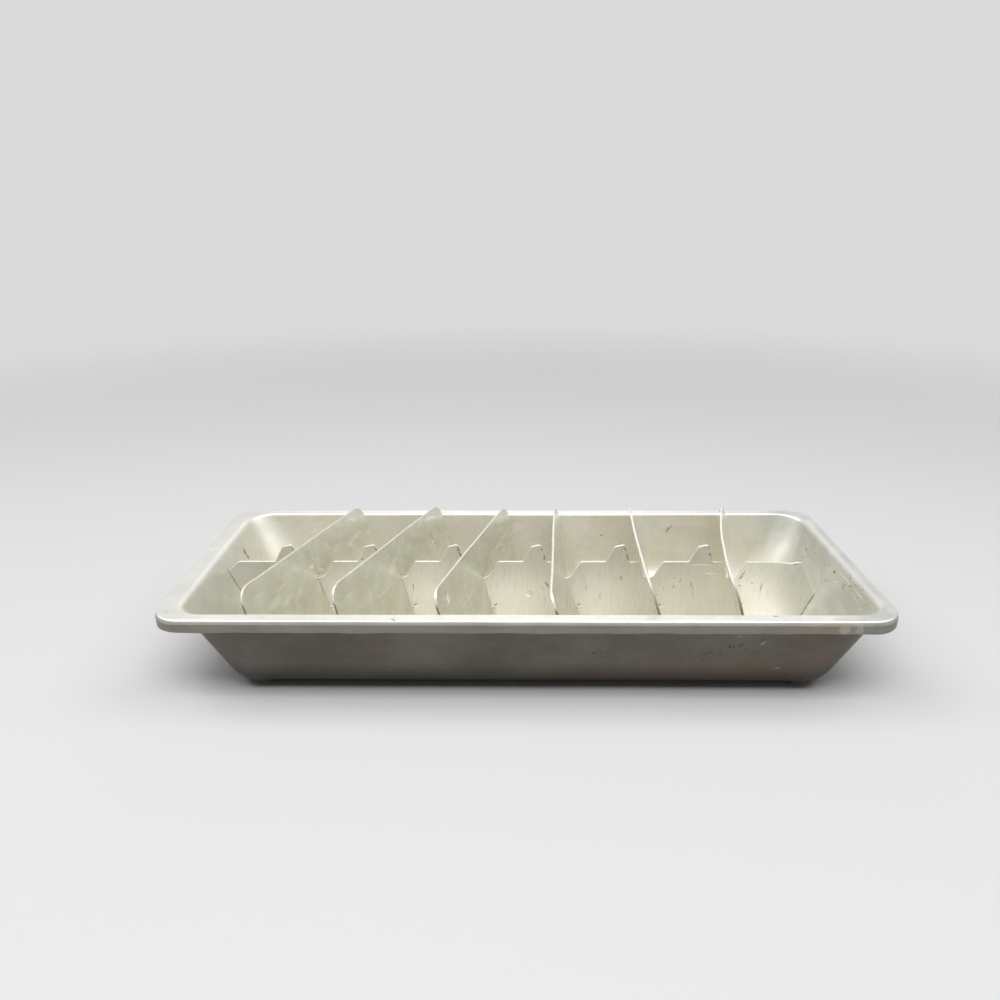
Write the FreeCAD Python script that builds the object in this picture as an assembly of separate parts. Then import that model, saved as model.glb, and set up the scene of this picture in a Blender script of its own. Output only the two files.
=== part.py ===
import FreeCAD, Part
import math
import os

# Metal ice cube tray with a loose dividing grid. Lengths in millimetres, angles in degrees.
# The origin is the middle of the tray's base, +X runs along the tray and +Z is up.
# The grid's spine lies in the plane Y = 0. Each fin straddles the spine through a slot in its
# lower edge, and tips on the floor of a notch in the spine's top edge.

# Rim
rim_length = 285.75
rim_width = 114.3
rim_height = 38.0
rim_corner = 12.0
sheet = 1.0
skirt_depth = 5.25
bead_depth = 1.7
bead_inset = 0.3
bead_round = 1.2

# Pan, as planes of its outer face. The pan hangs a little off the rim's middle.
left_end_at_rim = -135.4
left_end_slope = 23.5
right_end_at_rim = 138.4
right_end_upper_slope = 14.0
right_end_crease_height = 27.0
right_end_slope = 23.5
crease_round = 45.0
half_width_at_rim = 52.2
side_slope = 6.5
corner_round_at_rim = 11.5
corner_round_at_base = 21.0
base_round = 16.5
lip_round = 3.0

# Spine
spine_sheet = 1.1
floor_gap = 0.1
wall_gap = 1.2
spine_top = 36.1
left_chamfer = (5.3, 4.5)
left_low_round = 2.0
left_high_round = 3.0
right_shoulder = (122.1, 35.8)
right_shoulder_round = 1.0
right_elbow = (129.2, 20.8)
right_elbow_round = 1.5
right_end_lower_slope = 22.2
spine_corner_round = 14.0

# Stop hump and notch in the spine's top edge at each fin, as corners (X from the notch, height,
# rounding). A fin leans back on the ledge's end and tips forward onto the notch's slope.
fin_count = 6
pitch = 36.36
ledge_height = 35.9
notch_floor = 28.2
hump_corners = (
    (-18.1, spine_top, 0.0),
    (-14.4, 43.2, 1.2),
    (-10.4, 44.2, 1.0),
    (-8.9, 41.5, 0.8),
    (-7.6, ledge_height, 0.4),
)
notch_corners = (
    (-3.4, ledge_height, 0.3),
    (-1.0, notch_floor, 0.3),
    (1.4, notch_floor, 0.0),
    (3.5, 29.3, 1.0),
    (7.4, spine_top, 0.8),
)

# Fins
fin_sheet = 1.0
fin_half_width = 49.0
fin_bottom = -25.6
fin_top_round = 6.5
fin_waist = -9.0
fin_waist_half_width = 48.0
fin_foot_round = 16.5
slot_half_width = 0.95
slot_flare = 0.11
slot_end_round = 0.4
slot_mouth_round = 1.0
hinge_height = 28.6

# How each fin differs: slew about the vertical, lean towards -X, place along its notch, the bow
# of its sheet and the height of its top edge above the hinge line.
fin_slew = (18.5, 20.5, 16.2, 3.5, 2.0, 10.2)
fin_lean = (17.2, 16.1, 16.6, 19.1, 17.3, 16.5)
fin_shift = (0.0, 0.7, 0.3, 0.3, 0.6, 0.7)
fin_bow = (0.0, 0.0, 0.0, 0.0, 0.0, 2.7)
fin_top = (16.3, 17.1, 15.8, 16.2, 16.2, 16.3)

# Lugs raised on the spine beside each fin, and a round dimple at the spine's middle
lug_width = 1.2
lug_height = 2.4
lug_rise = 0.35
lug_place = 14.0
lug_gap = 0.8
dimple_radius = 1.8
dimple_rise = 0.35
dimple_place = (3.5, 20.5)

# Overlap of cutting shapes, and the distance within which places count as the same
extra = 5.0
near = 0.1


def tangent(degrees):
    return math.tan(math.radians(degrees))


def secant(degrees):
    return 1 / math.cos(math.radians(degrees))


def on_side(u, v):
    """Point of the plane Y = 0."""
    return FreeCAD.Vector(u, 0, v)


def on_end(u, v):
    """Point of the plane X = 0."""
    return FreeCAD.Vector(0, u, v)


def on_base(u, v):
    """Point of the plane Z = 0."""
    return FreeCAD.Vector(u, v, 0)


def outline(corners, place):
    """Closed face through corners (u, v, radius), with an arc at each corner that has a radius."""
    bends = []
    for index, (u, v, radius) in enumerate(corners):
        here = FreeCAD.Vector(u, v, 0)
        before = FreeCAD.Vector(*corners[index - 1][:2], 0)
        after = FreeCAD.Vector(*corners[(index + 1) % len(corners)][:2], 0)
        back = (before - here).normalize()
        ahead = (after - here).normalize()
        if radius == 0:
            bends.append((here, None, here))
            continue
        half_angle = back.getAngle(ahead) / 2
        reach = radius / math.tan(half_angle)
        middle = here + (back + ahead).normalize() * (radius / math.sin(half_angle) - radius)
        bends.append((here + back * reach, middle, here + ahead * reach))
    edges = []
    for index, (start, middle, end) in enumerate(bends):
        last = bends[index - 1][2]
        if last.distanceToPoint(start) > 1e-6:
            edges.append(Part.makeLine(place(last.x, last.y), place(start.x, start.y)))
        if middle:
            points = [place(point.x, point.y) for point in (start, middle, end)]
            edges.append(Part.Arc(*points).toShape())
    return Part.Face(Part.Wire(edges))


def rounded_block(length, width, radius, bottom, top):
    """Upright block with a rounded rectangular plan, centred on the origin."""
    half_length = length / 2
    half_width = width / 2
    signs = ((-1, -1), (1, -1), (1, 1), (-1, 1))
    corners = [(x * half_length, y * half_width, radius) for x, y in signs]
    face = outline(corners, on_base)
    face.translate(FreeCAD.Vector(0, 0, bottom))
    return face.extrude(FreeCAD.Vector(0, 0, top - bottom))


def pan_solid(inset, top):
    """Solid bounded by the pan's outer face moved inwards by inset, cut flat at top."""
    left = left_end_at_rim + inset * secant(left_end_slope)
    crease_out = right_end_at_rim - (rim_height - right_end_crease_height) * tangent(right_end_upper_slope)
    crease = crease_out - inset * secant((right_end_slope + right_end_upper_slope) / 2)
    above = top - rim_height
    left_top = left - above * tangent(left_end_slope)
    left_base = left + (rim_height - inset) * tangent(left_end_slope)
    right_top = crease + (top - right_end_crease_height) * tangent(right_end_upper_slope)
    right_base = crease - (right_end_crease_height - inset) * tangent(right_end_slope)
    long_section = outline(
        [
            (left_base, inset, 0),
            (right_base, inset, 0),
            (crease, right_end_crease_height, 0),
            (right_top, top, 0),
            (left_top, top, 0),
        ],
        on_side,
    )
    half_top = half_width_at_rim - inset * secant(side_slope) + above * tangent(side_slope)
    half_base = half_top - (top - inset) * tangent(side_slope)
    cross_section = outline(
        [(-half_base, inset, 0), (half_base, inset, 0), (half_top, top, 0), (-half_top, top, 0)],
        on_end,
    )
    long_section.translate(FreeCAD.Vector(0, -rim_width, 0))
    along = long_section.extrude(FreeCAD.Vector(0, 2 * rim_width, 0))
    cross_section.translate(FreeCAD.Vector(-rim_length, 0, 0))
    across = cross_section.extrude(FreeCAD.Vector(2 * rim_length, 0, 0))
    block = along.common(across).removeSplitter().Solids[0]

    creases = [
        edge
        for edge in block.Edges
        if abs(edge.CenterOfMass.z - right_end_crease_height) < near and abs(edge.CenterOfMass.y) < near
    ]
    block = block.makeFillet(crease_round, creases)
    for x_side in (-1, 1):
        for y_side in (-1, 1):
            block = round_corner(block, x_side, y_side, inset, top)
    base_edges = [edge for edge in block.Edges if edge.BoundBox.ZMax < inset + near]
    return block.makeFillet(base_round - inset, base_edges)


def round_corner(block, x_side, y_side, inset, top):
    """Round one upright corner of the pan, more at the base than at the rim."""
    uprights = [
        edge
        for edge in block.Edges
        if edge.CenterOfMass.x * x_side > 0
        and edge.CenterOfMass.y * y_side > half_width_at_rim - extra
        and edge.BoundBox.ZLength > near
    ]
    lowest = min(uprights, key=lambda edge: edge.CenterOfMass.z)
    radii = (corner_radius(inset) - inset, corner_radius(top) - inset)
    tries = [block.makeFillet(*order, [lowest]) for order in (radii, radii[::-1])]
    return max(tries, key=top_area)


def corner_radius(height):
    """Radius of the outer face's upright corners at a height."""
    return corner_round_at_base + (corner_round_at_rim - corner_round_at_base) * height / rim_height


def top_area(block):
    """Area of the highest face, which is larger where its corners are rounded less."""
    return max(block.Faces, key=lambda face: face.CenterOfMass.z).Area


def pan_ring(shape, height):
    """Edges that ring the pan at a height, without those of the rim's outer edge and skirt."""
    margin = bead_inset + bead_round + near
    found = []
    for edge in shape.Edges:
        box = edge.BoundBox
        level = abs(box.ZMin - height) < near and abs(box.ZMax - height) < near
        within_length = max(abs(box.XMin), abs(box.XMax)) < rim_length / 2 - margin
        within_width = max(abs(box.YMin), abs(box.YMax)) < rim_width / 2 - margin
        if level and within_length and within_width:
            found.append(edge)
    return found


def make_tray():
    """Pressed tray: a pan with a flat rim, a beaded outer edge and a skirt."""
    skirt_bottom = rim_height - skirt_depth
    bead_bottom = rim_height - bead_depth
    skirt = rounded_block(rim_length, rim_width, rim_corner, skirt_bottom, bead_bottom)
    bead = rounded_block(
        rim_length - 2 * bead_inset,
        rim_width - 2 * bead_inset,
        rim_corner - bead_inset,
        bead_bottom,
        rim_height,
    )
    top_edges = [edge for edge in bead.Edges if edge.BoundBox.ZMin > rim_height - near]
    bead = bead.makeFillet(bead_round, top_edges)
    under = rounded_block(
        rim_length - 2 * sheet,
        rim_width - 2 * sheet,
        rim_corner - sheet,
        skirt_bottom - extra,
        rim_height - sheet,
    )
    rim = skirt.fuse(bead).cut(under)
    body = rim.fuse(pan_solid(0, rim_height - sheet / 2)).removeSplitter()
    body = body.makeFillet(lip_round - sheet, pan_ring(body, rim_height - sheet))
    body = body.cut(pan_solid(sheet, rim_height + extra)).removeSplitter()
    body = body.makeFillet(lip_round, pan_ring(body, rim_height))
    return body


def make_spine():
    """Lengthwise divider of thin strip, with a notch and a stop hump for each fin."""
    floor = sheet + floor_gap
    left_wall = left_end_at_rim + (sheet + wall_gap) * secant(left_end_slope)
    chamfer_across, chamfer_down = left_chamfer
    left_high = left_wall + (rim_height - spine_top + chamfer_down) * tangent(left_end_slope)
    left_low = left_wall + (rim_height - floor) * tangent(left_end_slope)
    elbow_x, elbow_z = right_elbow
    right_low = elbow_x - (elbow_z - floor) * tangent(right_end_lower_slope)
    corners = [
        (right_low, floor, spine_corner_round),
        (left_low, floor, spine_corner_round),
        (left_high, spine_top - chamfer_down, left_low_round),
        (left_high + chamfer_across, spine_top, left_high_round),
    ]
    for number in range(fin_count):
        crest = hump_corners + notch_corners
        corners += [(fin_place(number) + x, z, radius) for x, z, radius in crest]
    corners += [(*right_shoulder, right_shoulder_round), (elbow_x, elbow_z, right_elbow_round)]
    face = outline(corners[::-1], on_side)
    face.translate(FreeCAD.Vector(0, -spine_sheet / 2, 0))
    spine = face.extrude(FreeCAD.Vector(0, spine_sheet, 0))
    for number in range(fin_count):
        spine = spine.fuse(make_lug(number))
    return spine.fuse(make_dimple()).removeSplitter()


def make_lug(number):
    """Lug raised on the spine's front face, beside the foot of one fin."""
    drop = hinge_height - lug_place
    foot = fin_place(number) + fin_shift[number] + drop * tangent(fin_lean[number])
    corner = FreeCAD.Vector(foot + lug_gap, -spine_sheet / 2 - lug_rise, lug_place - lug_height / 2)
    return Part.makeBox(lug_width, 2 * lug_rise, lug_height, corner)


def make_dimple():
    """Shallow round dimple raised on the spine's front face."""
    x, z = dimple_place
    front = -spine_sheet / 2 - dimple_rise
    ball_radius = (dimple_radius**2 + dimple_rise**2) / (2 * dimple_rise)
    ball = Part.makeSphere(ball_radius, FreeCAD.Vector(x, front + ball_radius, z))
    corner = FreeCAD.Vector(x - ball_radius, front, z - ball_radius)
    block = Part.makeBox(2 * ball_radius, dimple_rise + spine_sheet / 2, 2 * ball_radius, corner)
    return ball.common(block)


def fin_place(number):
    """Nominal X of a fin's notch."""
    return (number - (fin_count - 1) / 2) * pitch


def make_fin(number):
    """Crosswise plate with a slot in its lower edge, lying slewed and leaned in its notch."""
    profile = outline(
        [
            (-fin_half_width, 0, 0),
            (-fin_waist_half_width, fin_waist, 0),
            (-fin_waist_half_width, fin_bottom, fin_foot_round),
            (-slot_half_width, fin_bottom, slot_mouth_round),
            (-slot_half_width, 0, slot_end_round),
            (slot_half_width, 0, slot_end_round),
            (slot_half_width - fin_bottom * slot_flare, fin_bottom, slot_mouth_round),
            (fin_waist_half_width, fin_bottom, fin_foot_round),
            (fin_waist_half_width, fin_waist, 0),
            (fin_half_width, 0, 0),
            (fin_half_width, fin_top[number], fin_top_round),
            (-fin_half_width, fin_top[number], fin_top_round),
        ],
        on_end,
    )
    profile.translate(FreeCAD.Vector(-extra, 0, 0))
    plate = profile.extrude(FreeCAD.Vector(2 * extra, 0, 0))
    plate = plate.common(bowed_strip(fin_bow[number]))
    plate.Placement = fin_attitude(number)
    return plate


def bowed_strip(bow):
    """Upright strip of the fin's sheet, whose ends stand off the middle by bow."""
    reach = fin_half_width
    bottom = fin_bottom - extra
    sides = []
    for offset in (-fin_sheet / 2, fin_sheet / 2):
        start = FreeCAD.Vector(bow + offset, -reach, bottom)
        middle = FreeCAD.Vector(offset, 0, bottom)
        end = FreeCAD.Vector(bow + offset, reach, bottom)
        curve = Part.Arc(start, middle, end) if bow else Part.LineSegment(start, end)
        sides.append((curve.toShape(), start, end))
    (left, left_start, left_end), (right, right_start, right_end) = sides
    front = Part.makeLine(right_start, left_start)
    back = Part.makeLine(left_end, right_end)
    face = Part.Face(Part.Wire([left, back, right, front]))
    return face.extrude(FreeCAD.Vector(0, 0, max(fin_top) + extra - bottom))


def fin_attitude(number):
    """Placement of a fin that is modelled standing square, with its slot's end at the origin."""
    slew = math.radians(fin_slew[number])
    lean = math.radians(fin_lean[number])
    along = FreeCAD.Vector(math.sin(slew), math.cos(slew), 0)
    trace = FreeCAD.Vector(-math.sin(lean), 0, math.cos(lean))
    across = along.cross(trace).normalize()
    turn = FreeCAD.Rotation(across, along, across.cross(along), "ZYX")
    hinge = FreeCAD.Vector(fin_place(number) + fin_shift[number], 0, hinge_height)
    return FreeCAD.Placement(hinge, turn)


def main():
    os.makedirs("parts", exist_ok=True)
    parts = {"tray": make_tray(), "spine": make_spine()}
    for number in range(fin_count):
        parts[f"fin_{number + 1}"] = make_fin(number)
    for name, shape in parts.items():
        print(name, shape.isValid(), len(shape.Solids), round(shape.Volume), shape.BoundBox)
        shape.exportStep(f"parts/{name}.step")


main()
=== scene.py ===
import math

from collections import namedtuple

import bmesh
import bpy
from mathutils import Matrix, Vector, noise


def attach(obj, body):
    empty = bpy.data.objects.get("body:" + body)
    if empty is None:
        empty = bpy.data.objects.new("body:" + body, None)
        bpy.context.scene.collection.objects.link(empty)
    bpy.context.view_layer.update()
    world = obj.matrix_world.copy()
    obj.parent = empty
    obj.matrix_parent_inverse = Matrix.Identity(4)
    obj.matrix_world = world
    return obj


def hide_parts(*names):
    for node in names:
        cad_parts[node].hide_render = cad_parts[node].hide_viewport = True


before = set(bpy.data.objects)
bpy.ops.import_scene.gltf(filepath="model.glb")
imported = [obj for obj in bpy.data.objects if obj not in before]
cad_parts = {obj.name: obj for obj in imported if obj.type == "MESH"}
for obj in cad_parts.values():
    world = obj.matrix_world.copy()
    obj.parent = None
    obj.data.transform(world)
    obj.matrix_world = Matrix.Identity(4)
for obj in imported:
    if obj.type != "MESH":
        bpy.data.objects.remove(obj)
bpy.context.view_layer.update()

# Lengths in the shape functions are in millimetres, and become metres when a mesh is made.
MM = 0.001

# The vector noise draws its offsets at random, so one seed keeps every run the same.
noise_seed = 7
noise.seed_set(noise_seed)

# Tray: rim, skirt and the planes of the pan's outer face
rim_length = 285.75
rim_width = 114.3
rim_height = 38.0
rim_corner = 12.0
sheet = 1.0
skirt_depth = 5.25
bead_depth = 1.7
bead_inset = 0.3
bead_round = 0.9
bead_slant = 18.0
skirt_inset = 0.08
# The bead's slanted foot, as inset and height above the bead's lower edge
bead_foot = ((0.5 * bead_inset, 0.5), (0.05, 0.15), (0.02, 0.03))
# How far a bend of the rim's edge reaches, and how far its middle point lies from the corner
edge_soft = 0.35
edge_bend = 0.1
left_end_at_rim = -135.4
left_end_slope = 23.5
right_end_at_rim = 138.4
right_end_upper_slope = 14.0
right_end_crease_height = 27.0
right_end_slope = 23.5
crease_blend = 0.68
half_width_at_rim = 52.2
side_slope = 6.5
corner_round_at_rim = 11.5
corner_round_at_base = 21.0
base_round = 16.5
side_lip_round = 0.9
end_lip_round = 3.2

# Tray mesh: columns round each corner and along each side, and rows up each stretch
corner_steps = 14
long_steps = 130
short_steps = 36
wall_steps = 16
fillet_steps = 9
lip_steps = 7
bead_steps = 5
rim_shares = (0.35, 0.7)
underside_shares = (0.3, 0.65)
floor_shares = (0.9, 0.6, 0.3, 0.1)
floor_ridge_inset = 0.96 * half_width_at_rim

# How far the rim's edge takes the outside's darker colour, where the pan's outside is 1. That darker
# colour is partly a duller finish and partly painted shade.
bead_dullness_and_shade = 0.62
skirt_dullness_and_shade = 0.85

# Unevenness of the tray: how far it wanders, how quickly along it, and where that starts and stops
wander = 0.18
wander_rate = 0.02
wander_heights = (1.5, 9.0)
edge_stiffness = 0.9
end_edge_reach = 5.0
skirt_reach = 2.0
skirt_wave_rate = 0.07
skirt_wave_seed = 3.1
skirt_wave_inwards = 0.15
skirt_wave_down = 0.45

# Dents and raised forms in a sheet: middle, size along and across the turned oval, its turn in
# degrees, how far it rises and the share of it that is flat
Press = namedtuple("Press", "u v length width turn rise flat")
press_cuts = 12
press_room = 0.3
press_reach = 2.0
wall_dents = (
    Press(91.6, 26.4, 2.6, 2.0, 70, -0.45, 0.1),
    Press(82.2, 27.9, 2.0, 1.2, 10, -0.3, 0.1),
    Press(99.3, 14.0, 2.8, 1.3, 20, -0.4, 0.1),
)

# Plates: how round a cut edge is, as a share of the sheet, and the fineness of arcs and cut edges
cut_edge_round = 0.17
cut_edge_steps = 3
arc_step = 9
arc_least_steps = 3
furthest_inset = 2

# Spine
spine_sheet = 1.1
floor_gap = 0.1
wall_gap = 1.2
spine_top = 36.1
left_chamfer = (5.3, 4.5)
left_low_round = 2.0
left_high_round = 3.0
right_shoulder = (122.1, 35.8)
right_shoulder_round = 1.0
right_elbow = (129.2, 20.8)
right_elbow_round = 1.5
right_end_lower_slope = 22.2
spine_corner_round = 14.0
fin_count = 6
pitch = 36.36
ledge_height = 35.9
notch_floor = 28.2
hump_corners = (
    (-18.1, spine_top, 0.0),
    (-14.4, 43.2, 1.2),
    (-10.4, 44.2, 1.0),
    (-8.9, 41.5, 0.8),
    (-7.6, ledge_height, 0.4),
)
notch_corners = (
    (-3.4, ledge_height, 0.3),
    (-1.0, notch_floor, 0.3),
    (1.4, notch_floor, 0.0),
    (3.5, 29.3, 1.0),
    (7.4, spine_top, 0.8),
)

lug_width = 1.2
lug_height = 2.4
lug_rise = 0.35
lug_place = 14.0
lug_gap = 0.8
lug_flat = 0.7
spine_dip = 0.6
spine_dip_place = 117.0
spine_dip_reach = (1.0, 3.4)
spine_dip_from = 32.0
spine_wave = 0.12
spine_wave_rates = (0.02, 0.05)
spine_wave_seed = 7.7
burr = 0.1
burr_rate = 0.6
burr_seed = 1.3
burr_heights = (27.0, 29.0)
spine_columns = (-130, 130, 2.5)
spine_low_rows = (2, 26, 3)
spine_high_rows = (28, 44, 1)
spine_presses = (
    Press(3.2, 20.5, 3.3, 3.3, 0, 0.24, 0.62),
    Press(78.3, 34.5, 10.6, 0.8, 0, 0.16, 0.5),
    Press(82.5, 30.4, 3.8, 1.1, 90, 0.07, 0.5),
    Press(83.3, 30.4, 2.9, 1.1, 90, 0.07, 0.5),
    Press(84.1, 30.4, 2.0, 1.1, 90, 0.07, 0.5),
    Press(84.9, 30.4, 1.1, 1.0, 90, 0.07, 0.5),
)

# Fins
fin_sheet = 1.0
fin_half_width = 49.0
fin_bottom = -25.6
fin_top_round = 6.5
fin_waist = -9.0
fin_waist_half_width = 48.0
fin_foot_round = 16.5
slot_half_width = 0.95
slot_flare = 0.11
slot_end_round = 0.4
slot_mouth_round = 1.0
hinge_height = 28.6
fin_slew = (18.5, 20.5, 16.2, 3.5, 2.0, 10.2)
fin_lean = (17.2, 16.1, 16.6, 19.1, 17.3, 16.5)
fin_shift = (0.0, 0.7, 0.3, 0.3, 0.6, 0.7)
fin_bow = (0.0, 0.0, 0.5, 0.0, 0.6, 2.7)
fin_top = (16.3, 17.1, 15.8, 16.2, 16.2, 16.3)
fin_presses = (
    (Press(3.4, 1.7, 2.0, 1.4, 20, 0.2, 0.3),),
    (Press(32.9, 2.9, 1.3, 0.9, 30, 0.25, 0.2), Press(34.6, 0.5, 0.9, 0.7, 30, 0.15, 0.2)),
    (Press(-38.4, 9.0, 5.8, 2.8, 80, -0.6, 0.1),),
    (),
    (),
    (),
)
# The last fin's bulge: its place along and up, its reach and its swelling
tip_bulge = (42.2, 15.0, 1.6, 0.8)
first_dirty_fin = 4
fin_wave = 0.25
fin_wave_rates = (0.045, 0.03)
fin_wave_seed = 11.0
nick = 0.12
nick_rate = 0.35
nick_seeds = (5.0, 2.0)
nick_reach = 3
nick_drop = 1.5
fin_grid_margin = 1
fin_column_step = 2
fin_row_step = 3


def tangent(degrees):
    return math.tan(math.radians(degrees))


def secant(degrees):
    return 1 / math.cos(math.radians(degrees))


def blend(low, high, share):
    return low + (high - low) * share


def smooth(value, start, end):
    """0 below start and 1 above end, with a smooth change between."""
    share = min(max((value - start) / (end - start), 0.0), 1.0)
    return share * share * (3 - 2 * share)


def in_oval(u, v, press):
    """Distance from a press's middle, as a share of the way to its edge."""
    turn = math.radians(press.turn)
    along = (u - press.u) * math.cos(turn) + (v - press.v) * math.sin(turn)
    across = (v - press.v) * math.cos(turn) - (u - press.u) * math.sin(turn)
    return math.hypot(2 * along / press.length, 2 * across / press.width)


def relief(u, v, presses):
    """How far the presses push a sheet out of its plane at one point. The strongest one counts."""
    rises = [press.rise * (1 - smooth(in_oval(u, v, press), press.flat, 1)) for press in presses]
    return max(rises, key=abs, default=0)


def press_box(press):
    """Lowest and highest (u, v) of a press, with a little room round it."""
    turn = math.radians(press.turn)
    cosine, sine = math.cos(turn), math.sin(turn)
    half_u = math.hypot(press.length * cosine, press.width * sine) / 2 + press_room
    half_v = math.hypot(press.length * sine, press.width * cosine) / 2 + press_room
    return (press.u - half_u, press.v - half_v), (press.u + half_u, press.v + half_v)


def cut_across(bm, geometry, axis, where):
    """Cut geometry by one plane across an axis, and return it with the cut."""
    normal = Vector((0, 0, 0))
    normal[axis] = 1
    return bmesh.ops.bisect_plane(bm, geom=geometry, plane_co=normal * where, plane_no=normal)["geom"]


def refine(bm, press, axes, on_sheet):
    """Cut the faces under one press into a fine grid. axes are the two that hold u and v."""
    low, high = press_box(press)
    faces = []
    for face in bm.faces:
        middle = face.calc_center_median()
        near = all(
            start - press_reach <= middle[axis] <= end + press_reach
            for start, end, axis in zip(low, high, axes)
        )
        if near and on_sheet(middle):
            faces.append(face)
    geometry = list({vert for face in faces for vert in face.verts})
    geometry += list({edge for face in faces for edge in face.edges}) + faces
    for start, end, axis in zip(low, high, axes):
        for where in steps_between(start, end, (end - start) / press_cuts):
            geometry = cut_across(bm, geometry, axis, where)


# Tray

CORNERS = ((1, -1), (1, 1), (-1, 1), (-1, -1))


def stations():
    """Columns round the tray, each as two corners, a share of the way between them and a normal."""
    found = []
    for corner in range(4):
        for step in range(corner_steps + 1):
            angle = math.radians(90 * (corner - 1 + step / corner_steps))
            found.append((corner, corner, 0.0, Vector((math.cos(angle), math.sin(angle), 0))))
        steps = long_steps if corner % 2 else short_steps
        normal = found[-1][3]
        for step in range(1, steps):
            found.append((corner, (corner + 1) % 4, step / steps, normal))
    return found


STATIONS = stations()


def plan_point(station, left, right, half_width, radius, height):
    """Point of a rounded rectangle at one station."""
    first, second, share, normal = station
    middles = []
    for x_side, y_side in (CORNERS[first], CORNERS[second]):
        x = right - radius if x_side > 0 else left + radius
        middles.append(Vector((x, y_side * (half_width - radius), height)))
    return middles[0].lerp(middles[1], share) + normal * radius


def right_end(height):
    """X of the right end's outer face, whose two planes meet in a soft crease."""
    upper = right_end_at_rim - (rim_height - height) * tangent(right_end_upper_slope)
    crease = right_end_at_rim - (rim_height - right_end_crease_height) * tangent(right_end_upper_slope)
    lower = crease + (height - right_end_crease_height) * tangent(right_end_slope)
    overlap = max(crease_blend - abs(upper - lower), 0) / crease_blend
    return min(upper, lower) - overlap**2 * crease_blend / 4


def wall_point(station, height, inset):
    """Point of the pan's wall: its outer face at inset 0, its inner face at the sheet's thickness."""
    drop = rim_height - height
    radius = blend(corner_round_at_base, corner_round_at_rim, height / rim_height) - inset
    return plan_point(
        station,
        left_end_at_rim + drop * tangent(left_end_slope) + inset * secant(left_end_slope),
        right_end(height) - inset * secant((right_end_slope + right_end_upper_slope) / 2),
        half_width_at_rim - drop * tangent(side_slope) - inset * secant(side_slope),
        radius,
        height,
    )


def rim_point(station, inset, height):
    """Point of the rim's outer edge, moved inwards by inset."""
    half_length = rim_length / 2 - inset
    return plan_point(
        station, -half_length, half_length, rim_width / 2 - inset, rim_corner - inset, height
    )


def fillet_point(station, level, inset, radius, side, share):
    """Point of the fillet between the wall and a level sheet, above it (side 1) or below it (side -1).
    Share 0 is at the level sheet and share 1 at the wall."""
    reach = 1.0
    step = wall_point(station, level, inset) - wall_point(station, level - side * reach, inset)
    lean = math.atan(side * step.dot(station[3]) / reach)
    turn = share * (math.pi / 2 - lean)
    drop = radius * (1 - math.cos(turn))
    length = radius * math.tan((math.pi / 2 - lean) / 2)
    offset = side * (length - radius * math.sin(turn) + drop * math.tan(lean))
    return wall_point(station, level - side * drop, inset) + station[3] * offset


def fillet_rows(level, inset, radius_at, less, side, steps):
    """Rows of a fillet, from the level sheet to the wall. Its radius is radius_at less a length."""
    shares = [step / steps for step in range(steps + 1)]
    return [
        [fillet_point(s, level, inset, radius_at(s) - less, side, share) for s in STATIONS]
        for share in shares
    ]


def floor_rows(edge_row):
    """Rows of a flat floor, from near its middle line to the foot of the base's fillet. The line
    stops short of both ends, so that no two columns cross."""
    first, last = left_end_at_rim + floor_ridge_inset, right_end_at_rim - floor_ridge_inset
    middle_row = [Vector((min(max(point.x, first), last), 0, point.z)) for point in edge_row]
    return between(edge_row, middle_row, floor_shares)


def wall_rows(lower, upper, inset):
    """Rows of the plane wall between two rows."""
    rows = []
    for step in range(1, wall_steps):
        share = step / wall_steps
        rows.append(
            [
                wall_point(station, blend(low.z, high.z, share), inset)
                for station, low, high in zip(STATIONS, lower, upper)
            ]
        )
    return rows


def lip_radius(station):
    """Radius of the lip's inner side, tighter on the long sides than at the ends."""
    return blend(side_lip_round, end_lip_round, station[3].x ** 2)


def skin_rows(inset, level):
    """Rows of one face of the pan, from the middle of its floor to the flat rim."""
    base = fillet_rows(inset, inset, lambda station: base_round, inset, -1, fillet_steps)
    edge = fillet_rows(level, inset, lip_radius, rim_height - level, 1, lip_steps)[::-1]
    return floor_rows(base[0]) + base + wall_rows(base[-1], edge[0], inset) + edge


def between(first, second, shares):
    """Rows that lie some shares of the way from one row to another."""
    return [[a.lerp(b, share) for a, b in zip(first, second)] for share in shares]


def edge_profile():
    """Section of the rim's outer edge as (inset, height), from its flat top round to its underside."""
    profile = []
    for step in range(bead_steps + 1):
        angle = math.radians(90 - bead_slant) * step / bead_steps
        profile.append(
            (
                bead_inset + bead_round * (1 - math.sin(angle)),
                rim_height - bead_round * (1 - math.cos(angle)),
            )
        )
    bead_bottom = rim_height - bead_depth
    skirt_bottom = rim_height - skirt_depth
    profile += [(inset, bead_bottom + above) for inset, above in bead_foot]
    return profile + [
        (skirt_inset, bead_bottom - edge_bend),
        (skirt_inset, bead_bottom - edge_soft),
        (skirt_inset, blend(skirt_bottom, bead_bottom, 0.7)),
        (skirt_inset, blend(skirt_bottom, bead_bottom, 0.4)),
        (skirt_inset, skirt_bottom + edge_soft),
        (skirt_inset + edge_bend, skirt_bottom + edge_bend),
        (edge_soft, skirt_bottom),
        (sheet - edge_soft, skirt_bottom),
        (sheet - edge_bend, skirt_bottom + edge_bend),
        (sheet, skirt_bottom + edge_soft),
        (sheet, blend(skirt_bottom, bead_bottom, 0.5)),
        (sheet, rim_height - sheet - edge_soft),
        (sheet + edge_bend, rim_height - sheet - edge_bend),
        (sheet + edge_soft, rim_height - sheet),
    ]


def edge_dullness_and_shade(height):
    """How far the rim's edge takes the outside's darker colour at a height: bright on top, darker on the
    bead, most on the skirt. This is partly a duller finish and partly painted shade.
    """
    drop = rim_height - height
    bead = smooth(drop, 0, bead_round) * bead_dullness_and_shade
    below_bead = smooth(drop, bead_depth - edge_bend, bead_depth + edge_bend)
    return bead + below_bead * (skirt_dullness_and_shade - bead_dullness_and_shade)


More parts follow.
